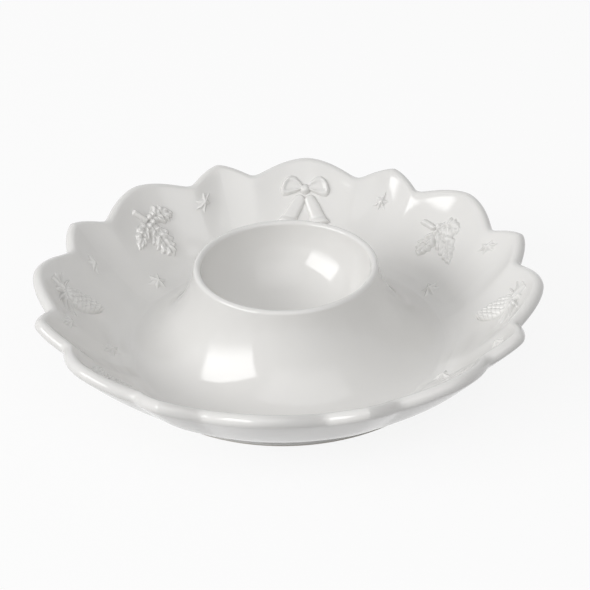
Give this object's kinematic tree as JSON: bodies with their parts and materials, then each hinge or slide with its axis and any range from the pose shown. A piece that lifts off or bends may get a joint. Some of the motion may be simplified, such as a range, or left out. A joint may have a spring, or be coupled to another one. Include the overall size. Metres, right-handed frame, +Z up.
{
  "type": "egg cup",
  "caption": "Porcelain egg cup on its own scalloped saucer, with a flared cup in the middle, a low foot ring and raised leaf, bell, pine cone and star ornament.",
  "frame": {"origin": "centre of the foot ring's face on the table", "axes": "+Z up through the middle of the cup, +Y towards the tip of a large lobe, +X towards the tip of the large lobe a quarter turn clockwise from it, seen from above"},
  "size_m": [0.13, 0.13, 0.027],
  "materials": {
    "glaze": "glossy warm white glaze",
    "bare_foot": "unglazed, fine and matt"
  },
  "bodies": {
    "root": {"dish": "glaze", "egg_cup": "glaze", "foot_ring": "bare_foot", "leaf_sprig_1": "glaze", "leaf_sprig_2": "glaze", "leaf_sprig_3": "glaze", "leaf_sprig_4": "glaze", "bell_pair_1": "glaze", "bell_pair_2": "glaze", "pine_cone_1": "glaze", "pine_cone_2": "glaze", "rim_star_1": "glaze", "rim_star_2": "glaze", "rim_star_3": "glaze", "rim_star_4": "glaze", "rim_star_5": "glaze", "rim_star_6": "glaze", "rim_star_7": "glaze", "rim_star_8": "glaze", "floor_star_1": "glaze", "floor_star_2": "glaze", "floor_star_3": "glaze", "floor_star_4": "glaze", "floor_star_5": "glaze", "floor_star_6": "glaze", "floor_star_7": "glaze", "floor_star_8": "glaze"}
  },
  "joints": []
}
